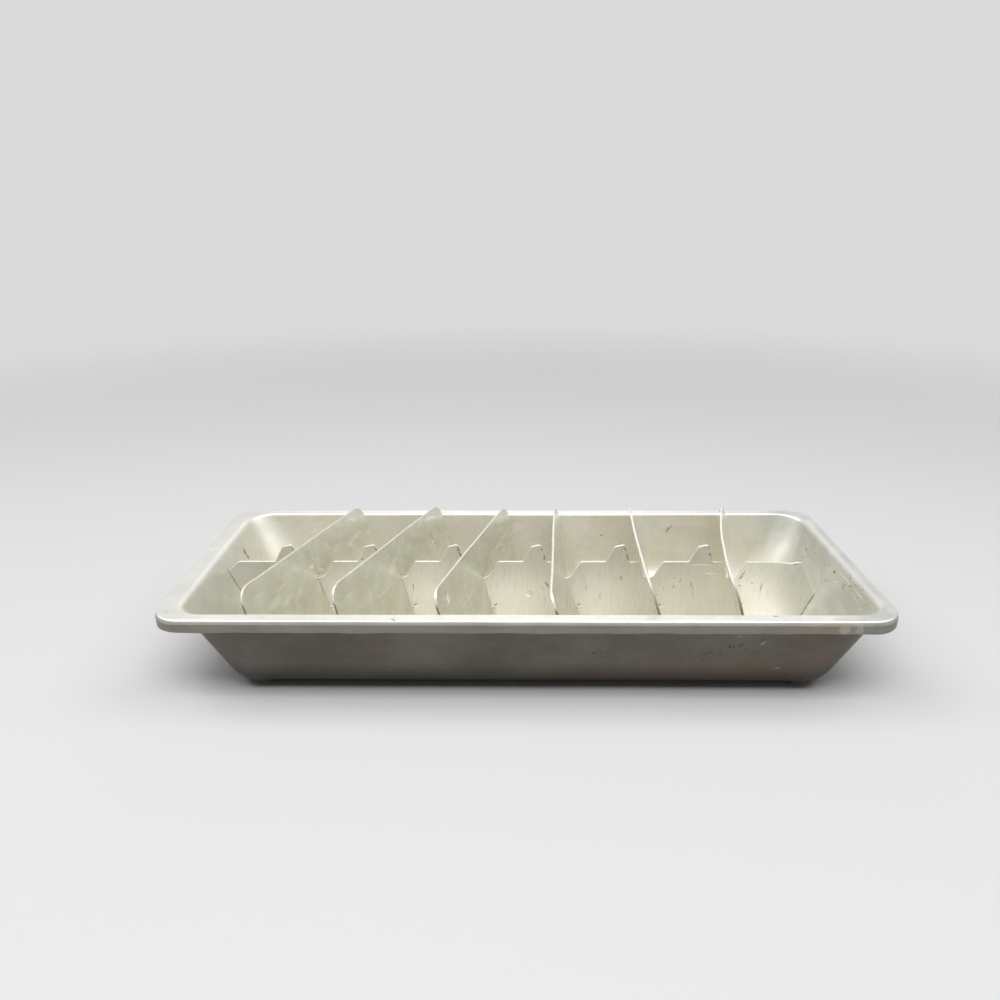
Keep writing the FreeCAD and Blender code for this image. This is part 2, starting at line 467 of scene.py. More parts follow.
def dress_tray(point):
    """A point of the pressed sheet with its unevenness and dents, which go through both faces."""
    above_floor = smooth(point.z, *wander_heights)
    slow = noise.noise_vector(point * wander_rate) * wander * above_floor
    half_length, half_width = rim_length / 2, rim_width / 2
    along_edge = max(
        smooth(abs(point.y), half_width_at_rim, half_width - sheet),
        smooth(abs(point.x), half_length - end_edge_reach, half_length - sheet),
    )
    skirt_bottom = rim_height - skirt_depth
    skirt = along_edge * smooth(point.z, skirt_bottom - skirt_reach, skirt_bottom)
    low = smooth(rim_height - point.z, skirt_reach, skirt_depth)
    rate = skirt_wave_rate
    wave = noise.noise(Vector((point.x * rate, point.y * rate, skirt_wave_seed)))
    outwards = Vector((point.x / rim_length, point.y / rim_width, 0)).normalized()
    moved = point + slow * (1 - edge_stiffness * along_edge)
    moved += outwards * (wave - 1) * skirt_wave_inwards * skirt
    moved.z += skirt_wave_down * wave * low * skirt
    if point.y < 0 and skirt == 0:
        moved.y -= relief(point.x, point.z, wall_dents)
    return moved


def mesh_object(name, bm, materials):
    bmesh.ops.recalc_face_normals(bm, faces=bm.faces)
    bmesh.ops.scale(bm, vec=Vector((MM, MM, MM)), verts=bm.verts)
    mesh = bpy.data.meshes.new(name)
    bm.to_mesh(mesh)
    bm.free()
    for material in materials:
        mesh.materials.append(material)
    for polygon in mesh.polygons:
        polygon.use_smooth = True
    piece = bpy.data.objects.new(name, mesh)
    bpy.context.scene.collection.objects.link(piece)
    return piece


def make_tray(metal):
    """The pressed tray as one closed skin. Its outside is darker, partly a duller finish and partly
    painted shade, which the layer "outside" holds.
    """
    inner = skin_rows(sheet, rim_height)
    outer = skin_rows(0.0, rim_height - sheet)[::-1]
    profile = edge_profile()
    edge = [[rim_point(s, inset, height) for s in STATIONS] for inset, height in profile]
    top = between(inner[-1], edge[0], rim_shares)
    under = between(edge[-1], outer[0], underside_shares)
    rows = inner + top + edge + under + outer
    dullness_and_shade = [0.0] * len(inner + top) + [edge_dullness_and_shade(height) for inset, height in profile]
    dullness_and_shade += [1.0] * len(under + outer)
    bm = bmesh.new()
    outside = bm.verts.layers.float.new("outside")
    grid = []
    for row, value in zip(rows, dullness_and_shade):
        grid.append([bm.verts.new(point) for point in row])
        for vert in grid[-1]:
            vert[outside] = value
    for low, high in zip(grid, grid[1:]):
        for column in range(len(STATIONS)):
            following = (column + 1) % len(STATIONS)
            bm.faces.new((low[column], low[following], high[following], high[column]))
    bm.faces.new(grid[0])
    bm.faces.new(grid[-1][::-1])
    for dent in wall_dents:
        refine(bm, dent, (0, 2), lambda middle: middle.y < 0)
    for vert in bm.verts:
        vert.co = dress_tray(vert.co)
    return mesh_object("tray_pan", bm, (metal,))


# Plates

def rounded_outline(corners):
    """Points of a closed outline through corners (u, v, radius), with an arc at each rounded one."""
    points = []
    for index, (u, v, radius) in enumerate(corners):
        here = Vector((u, v))
        if radius == 0:
            points.append(here)
            continue
        back = (Vector(corners[index - 1][:2]) - here).normalized()
        ahead = (Vector(corners[(index + 1) % len(corners)][:2]) - here).normalized()
        half_angle = back.angle(ahead) / 2
        middle = here + (back + ahead).normalized() * (radius / math.sin(half_angle))
        start = here + back * (radius / math.tan(half_angle)) - middle
        turn = math.pi - 2 * half_angle
        sense = 1 if back.x * ahead.y - back.y * ahead.x < 0 else -1
        steps = max(arc_least_steps, math.ceil(math.degrees(turn) / arc_step))
        for step in range(steps + 1):
            angle = sense * turn * step / steps
            u_offset = start.x * math.cos(angle) - start.y * math.sin(angle)
            v_offset = start.x * math.sin(angle) + start.y * math.cos(angle)
            points.append(middle + Vector((u_offset, v_offset)))
    return points


def inset_outline(points, distance):
    """The outline moved inwards by a distance, or at most twice as far at a sharp corner. The
    outline runs anticlockwise."""
    moved = []
    for index, here in enumerate(points):
        back = (here - points[index - 1]).normalized()
        ahead = (points[(index + 1) % len(points)] - here).normalized()
        left_back = Vector((-back.y, back.x))
        left_ahead = Vector((-ahead.y, ahead.x))
        normal = (left_back + left_ahead).normalized()
        moved.append(here + normal * distance / max(normal.dot(left_back), 1 / furthest_inset))
    return moved


def make_plate(name, corners, thickness, cuts, presses, place, materials):
    """Sheet cut to an outline in (u, v), with rounded edges, cut into a grid, pressed and put in
    place. cuts holds the grid's places along u and along v. place turns (across, u, v) into a point."""
    points = rounded_outline(corners)
    area = sum(a.x * b.y - a.y * b.x for a, b in zip(points, points[1:] + points[:1]))
    if area < 0:
        points = points[::-1]
    edge_round = cut_edge_round * thickness
    half = thickness / 2
    bm = bmesh.new()
    rings = []
    for step in range(cut_edge_steps + 1):
        angle = math.radians(90 * step / cut_edge_steps)
        rings.append((edge_round * (1 - math.sin(angle)), -half + edge_round * (1 - math.cos(angle))))
    rings += [(inset, -across) for inset, across in rings[::-1]]
    loops = [
        [bm.verts.new((across, u, v)) for u, v in inset_outline(points, inset)]
        for inset, across in rings
    ]
    for low, high in zip(loops, loops[1:]):
        for index in range(len(points)):
            following = (index + 1) % len(points)
            face = bm.faces.new((low[index], low[following], high[following], high[index]))
            face.material_index = 1
    bm.faces.new(loops[0][::-1])
    bm.faces.new(loops[-1])
    for axis, places in ((1, cuts[0]), (2, cuts[1])):
        for where in places:
            cut_across(bm, bm.verts[:] + bm.edges[:] + bm.faces[:], axis, where)
    for press in presses:
        refine(bm, press, (1, 2), lambda middle: True)
    lay = bm.verts.layers.float_vector.new("lay")
    for vert in bm.verts:
        across, u, v = vert.co
        vert[lay] = Vector((u, v, across)) * MM
        vert.co = place((across + relief(u, v, presses), u, v))
    piece = mesh_object(name, bm, materials)
    flat = piece.modifiers.new("flat faces", "WEIGHTED_NORMAL")
    flat.weight = 100
    flat.keep_sharp = True
    return piece


def steps_between(start, end, step):
    count = max(1, round((end - start) / step))
    return [blend(start, end, index / count) for index in range(count + 1)]


def fin_place(number):
    return (number - (fin_count - 1) / 2) * pitch


def spine_corners():
    floor = sheet + floor_gap
    left_wall = left_end_at_rim + (sheet + wall_gap) * secant(left_end_slope)
    chamfer_across, chamfer_down = left_chamfer
    left_high = left_wall + (rim_height - spine_top + chamfer_down) * tangent(left_end_slope)
    left_low = left_wall + (rim_height - floor) * tangent(left_end_slope)
    elbow_x, elbow_z = right_elbow
    right_low = elbow_x - (elbow_z - floor) * tangent(right_end_lower_slope)
    corners = [
        (right_low, floor, spine_corner_round),
        (left_low, floor, spine_corner_round),
        (left_high, spine_top - chamfer_down, left_low_round),
        (left_high + chamfer_across, spine_top, left_high_round),
    ]
    for number in range(fin_count):
        corners += [(fin_place(number) + x, z, radius) for x, z, radius in hump_corners + notch_corners]
    return corners + [(*right_shoulder, right_shoulder_round), (elbow_x, elbow_z, right_elbow_round)]


def lug_middle(number):
    """How far along the spine a fin's lug lies, just right of the fin's slot."""
    foot = fin_place(number) + fin_shift[number] + (hinge_height - lug_place) * tangent(fin_lean[number])
    return foot + lug_gap + lug_width / 2


def place_spine(co):
    """A point of the spine in the tray, with its slow waves, burrs on its upper edge and a worn dip."""
    across, u, v = co
    rate_u, rate_v = spine_wave_rates
    wave = noise.noise(Vector((u * rate_u, v * rate_v, spine_wave_seed)))
    ragged = noise.noise_vector(Vector((u * burr_rate, v * burr_rate, burr_seed)))
    ragged = ragged * burr * smooth(v, *burr_heights)
    in_dip = 1 - smooth(abs(u - spine_dip_place), *spine_dip_reach)
    worn = spine_dip * in_dip * smooth(v, spine_dip_from, spine_top)
    return Vector((u + ragged.x, spine_wave * wave - across, v + ragged.z - worn))


def make_spine(face, cut):
    rows = steps_between(*spine_low_rows) + steps_between(*spine_high_rows)
    lugs = tuple(
        Press(lug_middle(number), lug_place, lug_height, lug_width, 90, lug_rise, lug_flat)
        for number in range(fin_count)
    )
    return make_plate(
        "spine_strip",
        spine_corners(),
        spine_sheet,
        (steps_between(*spine_columns), rows),
        spine_presses + lugs,
        place_spine,
        (face, cut),
    )


def fin_corners(number):
    return [
        (-fin_half_width, 0, 0),
        (-fin_waist_half_width, fin_waist, 0),
        (-fin_waist_half_width, fin_bottom, fin_foot_round),
        (-slot_half_width, fin_bottom, slot_mouth_round),
        (-slot_half_width, 0, slot_end_round),
        (slot_half_width, 0, slot_end_round),
        (slot_half_width - fin_bottom * slot_flare, fin_bottom, slot_mouth_round),
        (fin_waist_half_width, fin_bottom, fin_foot_round),
        (fin_waist_half_width, fin_waist, 0),
        (fin_half_width, 0, 0),
        (fin_half_width, fin_top[number], fin_top_round),
        (-fin_half_width, fin_top[number], fin_top_round),
    ]


def fin_attitude(number):
    """The move that takes a fin's (across, u, v) into the tray, with its hinge at u and v of 0."""
    slew = math.radians(fin_slew[number])
    lean = math.radians(fin_lean[number])
    along = Vector((math.sin(slew), math.cos(slew), 0))
    trace = Vector((-math.sin(lean), 0, math.cos(lean)))
    across = along.cross(trace).normalized()
    up = across.cross(along)
    hinge = Vector((fin_place(number) + fin_shift[number], 0, hinge_height))
    turn = Matrix((across, along, up)).transposed()
    return Matrix.Translation(hinge) @ turn.to_4x4()


def make_fin(number, face, cut):
    """One fin, bowed and wavy, with worn nicks along its top. The last one's tip bulges."""
    attitude = fin_attitude(number)
    top = fin_top[number]
    bulges = number == fin_count - 1
    bulge_u, bulge_v, reach, swelling = tip_bulge
    rate_u, rate_v = fin_wave_rates
    own_seed, nick_seed = nick_seeds

    def place(co):
        across, u, v = co
        bow = fin_bow[number] * (u / fin_half_width) ** 2
        wave = fin_wave * noise.noise(Vector((u * rate_u, v * rate_v, fin_wave_seed + number)))
        near_top = smooth(v, top - nick_reach, top)
        nicks = nick * near_top * noise.noise(Vector((u * nick_rate, number * own_seed, nick_seed)))
        near_tip = 1 - smooth(math.hypot(u - bulge_u, v - bulge_v), 0, reach)
        swell = math.copysign(swelling * near_tip, across) if bulges else 0
        return attitude @ Vector((across + bow + wave + swell + nicks, u, v - nick_drop * abs(nicks)))

    widest = fin_half_width - fin_grid_margin
    cuts = (
        steps_between(-widest, widest, fin_column_step),
        steps_between(fin_bottom + fin_grid_margin, top - fin_grid_margin, fin_row_step),
    )
    presses = fin_presses[number]
    if bulges:
        presses += (Press(bulge_u, bulge_v, 2 * reach, 2 * reach, 0, 0, 0),)
    return make_plate(
        f"fin_{number + 1}_plate", fin_corners(number), fin_sheet, cuts, presses, place, (face, cut)
    )


# Marks: small ovals of dirt or scratches, and some of painted shadow and painted highlight, at places in
# millimetres

Mark = namedtuple("Mark", "middle along normal length width strength")
mark_depth = 0.8
mark_spread = 1.3
mark_fade = (0.45, 1.0)
ragged_shift = 1.2
ragged_rate = 900
skirt_marks_at = -57.1


def side_at(z):
    return half_width_at_rim - (rim_height - z) * tangent(side_slope)


def facing_front(middle, length, width, turn, strength):
    """A mark on an upright face, turned from +X towards +Z."""
    turn = math.radians(turn)
    along = Vector((math.cos(turn), 0, math.sin(turn)))
    return Mark(middle, along, Vector((0, -1, 0)), length, width, strength)


def facing_up(middle, length, width, turn, strength):
    """A mark on a level face, turned from +X towards +Y."""
    turn = math.radians(turn)
    along = Vector((math.cos(turn), math.sin(turn), 0))
    return Mark(middle, along, Vector((0, 0, 1)), length, width, strength)


def on_end(middle, slope, length, width, turn, strength):
    """A mark on an end wall, which leans by slope degrees towards +X on its way up."""
    lean, turn = math.radians(slope), math.radians(turn)
    uphill = Vector((math.sin(lean), 0, math.cos(lean)))
    normal = Vector((math.cos(lean), 0, -math.sin(lean)))
    along = Vector((0, math.cos(turn), 0)) + uphill * math.sin(turn)
    return Mark(middle, along, normal, length, width, strength)


def on_front(x, z, *form):
    return facing_front((x, -side_at(z), z), *form)


def on_back(x, z, *form):
    return facing_front((x, side_at(z) - sheet, z), *form)


def on_skirt(x, z, *form):
    return facing_front((x, skirt_marks_at, z), *form)


def on_left_end(y, z, *form):
    x = left_end_at_rim + (rim_height - z) * tangent(left_end_slope) + sheet * secant(left_end_slope)
    return on_end((x, y, z), -left_end_slope, *form)


def on_right_end(y, z, *form):
    slope = right_end_upper_slope if z > right_end_crease_height else right_end_slope
    return on_end((right_end(z) - sheet * secant(slope), y, z), slope, *form)


def on_rim(x, y, *form):
    return facing_up((x, y, rim_height), *form)


def on_spine(u, v, *form):
    return facing_up((u, v, spine_sheet / 2), *form)


def on_fin(u, v, *form):
    return facing_up((u, v, fin_sheet / 2), *form)


def marks(on_face, *rows):
    """Marks on one face. A row holds two places on it, a length, a width, a turn and a strength."""
    return [on_face(*row) for row in rows]


outer_marks = marks(
    on_front,
    (27.0, 20.7, 2.0, 0.9, 5, 0.8),
    (29.5, 21.5, 0.9, 0.8, 0, 0.8),
    (32.0, 15.6, 0.9, 0.8, 0, 0.7),
    (79.2, 23.8, 1.1, 1.8, 20, 0.75),
    (80.6, 23.9, 0.9, 1.6, -25, 0.6),
    (82.9, 24.1, 0.9, 1.7, 15, 0.7),
    (83.9, 24.6, 1.2, 0.7, 20, 0.6),
    (85.7, 22.2, 1.0, 0.9, 0, 0.8),
    (89.3, 21.1, 2.8, 1.0, 5, 0.3),
    (71.0, 20.6, 3.6, 1.1, 35, 0.45),
    (75.7, 21.0, 2.4, 1.2, 80, 0.3),
    (69.4, 17.6, 1.2, 1.1, 0, 0.6),
    (-83.0, 22.0, 1.2, 0.8, 10, 0.35),
    (-21.0, 18.0, 0.9, 0.7, 0, 0.4),
)
# Painted highlights: pale crescents on the front wall's dents, standing for the light that the dents
# catch
outer_dent_highlights = marks(
    on_front,
    (91.8, 25.3, 2.4, 0.9, 35, 0.13),
    (82.3, 28.3, 2.2, 1.0, 5, 0.1),
    (98.8, 13.3, 2.8, 0.8, 20, 0.08),
)
rim_stains = marks(
    on_rim,
    (119.0, -55.4, 7.0, 3.4, 0, 0.5),
    (125.0, -55.6, 4.6, 3.0, 0, 0.35),
) + marks(
    on_skirt,
    (119.0, 34.9, 5.0, 4.6, 80, 0.4),
    (124.6, 34.9, 5.0, 3.0, 95, 0.3),
)
rust_spots = marks(
    on_left_end,
    (23.4, 30.0, 3.4, 2.2, -108, 0.95),
    (23.5, 27.2, 1.9, 1.7, -100, 0.95),
    (23.6, 28.6, 3.0, 0.9, -103, 0.7),
    (44.4, 34.6, 1.8, 1.5, 40, 0.8),
    (42.8, 30.4, 7.0, 1.0, -75, 0.25),
)
# Dark marks inside the tray and on its rim: mostly dirt, but the long upright lines beside the spine's
# two ends are painted shadow in the gap between the spine and the end walls.
inner_dirt_and_gap_shadows = marks(
    on_left_end,
    (44.7, 26.0, 0.8, 0.6, 0, 0.3),
    # Painted shadow: the gap beside the spine's left end
    (1.2, 26.0, 13.0, 0.9, 90, 0.75),
    (1.2, 17.0, 13.0, 0.9, 90, 0.75),
    (1.2, 9.0, 12.0, 0.9, 90, 0.75),
) + marks(
    on_right_end,
    (43.4, 29.7, 1.2, 1.0, 0, 0.5),
    (42.6, 27.1, 0.9, 0.8, 0, 0.45),
    (28.9, 28.6, 2.0, 1.0, -30, 0.55),
    (28.5, 25.0, 2.4, 0.8, -40, 0.4),
    (7.7, 31.0, 0.9, 0.9, 0, 0.4),
    (4.3, 32.5, 0.9, 1.1, 0, 0.5),
    (-2.6, 32.3, 1.5, 1.4, 0, 0.85),
    (0.4, 26.6, 5.6, 0.5, -38, 0.5),
    (-13.9, 30.8, 2.8, 0.8, 75, 0.7),
    (-15.2, 32.0, 1.6, 0.6, -10, 0.5),
    (-18.7, 33.4, 2.2, 0.9, -20, 0.7),
    (-16.0, 36.0, 1.3, 0.8, 30, 0.6),
    (28.9, 22.6, 1.2, 0.9, 0, 0.6),
    # Painted shadow: the gap beside the spine's right end, below its elbow
    (3.0, 14.5, 12.0, 1.1, 90, 0.75),
    (3.0, 8.0, 13.0, 1.1, 90, 0.75),
    (-27.6, 36.4, 1.6, 0.6, 50, 0.5),
    (-21.6, 35.6, 1.2, 0.8, 0, 0.5),
    (-14.6, 36.7, 1.0, 0.7, 0, 0.5),
    (-27.5, 32.7, 1.8, 0.6, -30, 0.5),
    (-34.7, 33.3, 1.2, 0.7, 20, 0.45),
    (-4.2, 36.4, 0.9, 0.7, 0, 0.5),
    (13.3, 30.6, 0.9, 0.7, 0, 0.5),
    (20.1, 31.0, 1.0, 0.8, 0, 0.5),
    (29.9, 29.1, 1.2, 0.9, 0, 0.5),
) + marks(
    on_back,
    (40.1, 27.0, 1.1, 0.9, 0, 0.6),
    (73.3, 30.1, 4.8, 0.6, 62, 0.8),
    (75.0, 31.8, 2.0, 0.5, 78, 0.6),
) + marks(
    on_rim,
    (-49.0, -55.8, 2.8, 0.8, -40, 0.75),
    (96.9, -55.5, 1.0, 0.6, 0, 0.4),
    (94.4, -52.4, 2.2, 0.8, 0, 0.6),
    (55.5, -56.4, 3.0, 0.4, 0, 0.4),
    (62.0, -56.2, 1.0, 0.5, 0, 0.4),
    (-84.0, -54.4, 0.9, 0.6, 0, 0.4),
    (-137.0, -49.5, 1.2, 0.8, 30, 0.5),
)
inner_scratches = marks(
    on_right_end,
    (-13.0, 34.0, 14.0, 0.6, 2, 0.6),
    (-27.0, 33.8, 12.0, 0.6, 3, 0.7),
    (-24.0, 31.6, 9.0, 0.4, 4, 0.45),
    (-33.0, 30.0, 8.0, 0.4, 8, 0.4),
    (-6.5, 29.4, 6.0, 0.5, -30, 0.4),
) + marks(
    on_left_end,
    (10.0, 24.0, 9.0, 0.5, 30, 0.35),
)

# How dirty the edge is on the flank of each stop hump
flank_dirt = (0.6, 0.7, 0.9, 0.8, 0.85, 0.4)
spine_marks = marks(
    on_spine,
    (96.3, 28.6, 2.4, 1.0, 45, 0.6),
    (28.2, 23.3, 3.0, 0.5, 80, 0.3),
    (34.6, 19.3, 3.6, 0.5, 84, 0.35),
    (11.3, 24.6, 4.0, 0.6, -62, 0.5),
    (10.1, 17.3, 3.6, 0.5, -80, 0.3),
    (119.5, 35.2, 1.6, 0.8, 0, 0.6),
    (-48.6, 23.5, 4.6, 0.5, 88, 0.6),
    (43.5, 28.1, 2.6, 0.6, -70, 0.6),
    (69.7, 26.9, 1.8, 0.6, 75, 0.6),
    (66.9, 24.2, 2.4, 0.55, 85, 0.55),
    (62.5, 23.0, 2.2, 0.5, 88, 0.35),
    (74.6, 25.4, 2.6, 0.5, 84, 0.5),
    (66.9, 28.4, 1.0, 0.8, 0, 0.55),
    (75.4, 22.4, 10.0, 0.4, 99, 0.35),
    (59.4, 20.0, 1.6, 0.6, 10, 0.5),
    (10.7, 25.0, 3.0, 0.7, -58, 0.6),
    (9.0, 23.0, 3.0, 0.5, -60, 0.25),
    (105.6, 24.0, 4.0, 0.55, 86, 0.6),
    (101.3, 25.8, 0.9, 0.8, 0, 0.5),
    (96.0, 24.5, 1.1, 1.0, 0, 0.55),
    (97.0, 30.4, 2.6, 0.8, 55, 0.55),
    (-28.2, 41.6, 1.4, 0.6, 20, 0.75),
    (-27.6, 40.4, 1.6, 0.6, 80, 0.7),
    (9.7, 37.6, 1.2, 0.9, 0, 0.85),
    (46.3, 37.5, 1.2, 0.9, 0, 0.8),
    (82.0, 40.6, 1.7, 0.6, 40, 0.8),
    (81.6, 39.6, 1.9, 0.6, -20, 0.8),
    (82.9, 38.2, 1.6, 0.6, 60, 0.7),
    (-70.5, 37.3, 1.0, 0.8, 0, 0.6),
)
for number, strength in enumerate(flank_dirt):
    middle, lug = fin_place(number), lug_middle(number)
    spine_marks += marks(
        on_spine,
        (middle - 9.75, 42.3, 2.5, 0.7, -61, strength),
        (middle - 8.6, 38.6, 3.4, 0.6, -77, strength),
        (lug + 0.4, lug_place + 1.1, 1.7, 0.7, 40, 0.75),
        (lug - 0.5, lug_place - 0.6, 1.5, 0.6, 100, 0.6),
    )

# One list for each fin. Its places run along it from its middle, and up from its hinge. The small strong
# mark just above the slot's end on the first four fins is painted shade in the gap where the fin meets
# the spine; the rest is dirt.
fin_dirt_and_slot_shade_marks = (
    marks(on_fin, (0.6, 1.2, 1.0, 0.9, 0, 0.8), (4.3, 2.2, 1.0, 0.8, 60, 0.5)),
    marks(on_fin, (-0.2, 1.1, 1.1, 1.0, 0, 0.85), (33.4, 6.1, 3.8, 1.4, 80, 0.25)),
    marks(on_fin, (0.0, 0.7, 1.1, 1.0, 0, 0.85), (-38.2, 10.2, 3.4, 0.9, 80, 0.3)),
    marks(on_fin, (-20.0, -2.0, 14.0, 1.6, 10, 0.25), (-1.6, 0.4, 1.0, 0.8, 0, 0.6)),
    marks(on_fin, (-36.0, 2.0, 16.0, 2.0, 10, 0.28)),
    marks(on_fin, (-36.0, 0.0, 16.0, 2.0, 10, 0.22)),
)
fin_scale_marks = (
    marks(
        on_fin,
        (-2.3, 5.7, 3.0, 2.2, 0, 0.8),
        (3.6, 1.7, 2.4, 1.6, 20, 0.6),
        (-20.3, 9.7, 7.0, 4.0, 20, 0.35),
        (-23.5, 6.9, 12.0, 0.7, 0, 0.6),
        (-16.2, -0.6, 8.0, 3.0, 20, 0.5),
        (-32.3, 2.4, 8.0, 4.0, 10, 0.45),
        (-23.9, 0.3, 7.0, 2.6, 15, 0.5),
        (37.0, 4.5, 11.0, 0.7, 2, 0.8),
        (20.0, 5.5, 12.0, 3.0, 5, 0.3),
        (30.4, 3.2, 7.0, 0.8, 8, 0.8),
        (38.4, 12.4, 7.0, 1.4, -30, 0.5),
    ),
    marks(
        on_fin,
        (32.9, 2.9, 1.5, 1.1, 30, 0.95),
        (34.6, 0.5, 1.2, 0.9, 30, 0.8),
        (21.0, 0.5, 3.4, 0.7, -5, 0.75),
        (-6.4, 5.9, 6.0, 4.0, 10, 0.45),
        (-2.8, 8.3, 4.0, 3.0, 0, 0.35),
        (-26.4, 3.2, 4.4, 0.6, 40, 0.6),
        (-12.0, 12.0, 3.4, 0.6, 75, 0.4),
        (-14.0, 0.0, 18.0, 0.7, 3, 0.6),
        (-6.1, 5.8, 7.0, 4.4, 10, 0.5),
        (-26.0, 3.2, 5.6, 0.7, 70, 0.7),
        (9.2, 14.0, 4.6, 1.0, 75, 0.5),
        (37.6, 13.6, 15.0, 1.1, -14, 0.8),
    ),
    marks(
        on_fin,
        (25.6, 4.0, 14.0, 0.8, 0, 0.8),
        (35.5, 4.6, 8.0, 0.7, 4, 0.7),
        (15.3, 4.2, 5.0, 0.8, 0, 0.7),
        (29.9, -0.3, 9.0, 0.7, 4, 0.6),
        (18.7, 2.2, 8.0, 0.8, 2, 0.6),
        (33.0, 9.0, 9.0, 0.6, 0, 0.4),
        (22.0, 7.6, 6.0, 0.6, 0, 0.4),
        (-38.2, 7.0, 1.4, 0.9, 60, 0.9),
        (-17.0, -0.5, 26.0, 0.7, 2, 0.6),
        (44.0, 5.6, 7.0, 0.6, 0, 0.5),
        (10.8, 3.1, 5.0, 0.6, 3, 0.6),
        (37.0, 11.6, 8.0, 0.9, -12, 0.6),
    ),
    marks(on_fin, (0.0, 4.0, 20.0, 1.0, 0, 0.4), (-14.0, 6.2, 21.0, 0.7, 25, 0.7)),
    marks(on_fin, (-10.0, 5.0, 18.0, 1.0, 0, 0.3)),
    marks(on_fin, (10.0, 5.0, 18.0, 1.0, 0, 0.3)),
)


# Materials

class Shader:
    """A material's nodes, built by short calls that return an output socket."""

    def __init__(self, name, **settings):
        self.material = bpy.data.materials.new(name)
        self.material.use_nodes = True
        self.tree = self.material.node_tree
        self.surface = self.tree.nodes["Principled BSDF"]
        for key, value in settings.items():
            self.surface.inputs[key.replace("_", " ")].default_value = value

    def node(self, kind, inputs=(), **settings):
        made = self.tree.nodes.new(kind)
        for key, value in settings.items():
            setattr(made, key, value)
        for key, value in dict(inputs).items():
            if isinstance(value, bpy.types.NodeSocket):
                self.tree.links.new(value, made.inputs[key])
            else:
                made.inputs[key].default_value = value
        return made

    def place(self, stretch, turn=(0, 0, 0), lay=False):
        """Coordinates in the object, or along the sheet where lay is true, stretched."""
        if lay:
            source = self.node("ShaderNodeAttribute", attribute_name="lay").outputs["Vector"]
        else:
            source = self.node("ShaderNodeTexCoord").outputs["Object"]
        turned = self.node("ShaderNodeMapping", {"Vector": source, "Rotation": turn})
        scaled = self.node("ShaderNodeMapping", {"Vector": turned.outputs[0], "Scale": stretch})
        return scaled.outputs[0]

    def noise(self, where, detail=3.0, rough=0.5, kind="Fac"):
        made = self.node(
            "ShaderNodeTexNoise", {"Vector": where, "Scale": 1.0, "Detail": detail, "Roughness": rough}
        )
        return made.outputs[kind]

    def cloud(self, rate, detail=3.0, rough=0.5, lay=False, kind="Fac"):
        """Noise that changes at one rate in every direction. The rate is for one metre."""
        return self.noise(self.place((rate, rate, rate), lay=lay), detail, rough, kind)

    def millimetres(self, lay=False):
        return self.place((1 / MM, 1 / MM, 1 / MM), lay=lay)

    def coordinate(self, axis, lay=False):
        return self.node("ShaderNodeSeparateXYZ", {0: self.millimetres(lay)}).outputs[axis]

    def ragged_place(self, lay=False):
        """Coordinates in millimetres, shifted a little at random, so that marks have ragged edges."""
        shift = self.cloud(ragged_rate, 2.0, lay=lay, kind="Color")
        centred = self.node("ShaderNodeVectorMath", {0: shift, 1: (0.5, 0.5, 0.5)}, operation="SUBTRACT")
        shifts = (ragged_shift, ragged_shift, ragged_shift)
        return self.node(
            "ShaderNodeVectorMath",
            {0: centred.outputs[0], 1: shifts, 2: self.millimetres(lay)},
            operation="MULTIPLY_ADD",
        ).outputs[0]

    def marked(self, where, marks):
        """Strength of the strongest of some small oval marks at each point."""
        strongest = 0.0
        for mark in marks:
            across = mark.normal.cross(mark.along)
            turn = Matrix((mark.along, across, mark.normal)).transposed().to_euler()
            size = (mark.length / 2 * mark_spread, mark.width / 2 * mark_spread, mark_depth)
            near = self.node(
                "ShaderNodeMapping",
                {"Vector": where, "Location": mark.middle, "Rotation": turn, "Scale": size},
                vector_type="TEXTURE",
            )
            distance = self.node("ShaderNodeVectorMath", {0: near.outputs[0]}, operation="LENGTH")
            shade = self.band(distance.outputs["Value"], *mark_fade, mark.strength, 0.0)
            strongest = self.larger(strongest, shade)
        return strongest

    def band(self, value, low, high, to_low=0.0, to_high=1.0):
        """A smooth change from to_low to to_high, while the value goes from low to high."""
        made = self.node(
            "ShaderNodeMapRange",
            {"Value": value, "From Min": low, "From Max": high, "To Min": to_low, "To Max": to_high},
            interpolation_type="SMOOTHSTEP",
        )
        return made.outputs["Result"]

    def mix(self, factor, first, second):
        return self.node("ShaderNodeMix", {0: factor, 6: first, 7: second}, data_type="RGBA").outputs[2]

    def math(self, operation, first, second):
        return self.node("ShaderNodeMath", {0: first, 1: second}, operation=operation).outputs[0]

    def times(self, first, second):
        return self.math("MULTIPLY", first, second)

    def larger(self, first, second):
        return self.math("MAXIMUM", first, second)

    def rest(self, share):
        """What a share leaves of 1."""
        return self.math("SUBTRACT", 1.0, share)

    def bump(self, height, distance, strength, below=None):
        inputs = {"Height": height, "Distance": distance, "Strength": strength}
        if below:
            inputs["Normal"] = below
        return self.node("ShaderNodeBump", inputs).outputs["Normal"]

    def finish(self, colour, roughness, normal, covered):
        """Connect the surface. covered is 0 on bare metal and 1 under dirt and scale."""
        links = self.tree.links
        links.new(colour, self.surface.inputs["Base Color"])
        links.new(roughness, self.surface.inputs["Roughness"])
        links.new(normal, self.surface.inputs["Normal"])
        metallic = self.surface.inputs["Metallic"]
        links.new(self.times(self.rest(covered), metallic.default_value), metallic)
        return self.material


def rgb(red, green, blue):
    return (red, green, blue, 1)


# Colours
# Pale scratches, and the painted highlights on the front wall's dents
scratch_and_highlight_white = rgb(1.0, 1.0, 0.93)
# The outside's colours are dark partly for its duller finish and partly as painted shade, standing for
# the dark surroundings that its faces reflect.
outside_dark = rgb(0.112, 0.100, 0.086)
outside_light = rgb(0.155, 0.141, 0.124)
outside_brown = rgb(0.155, 0.11, 0.08)
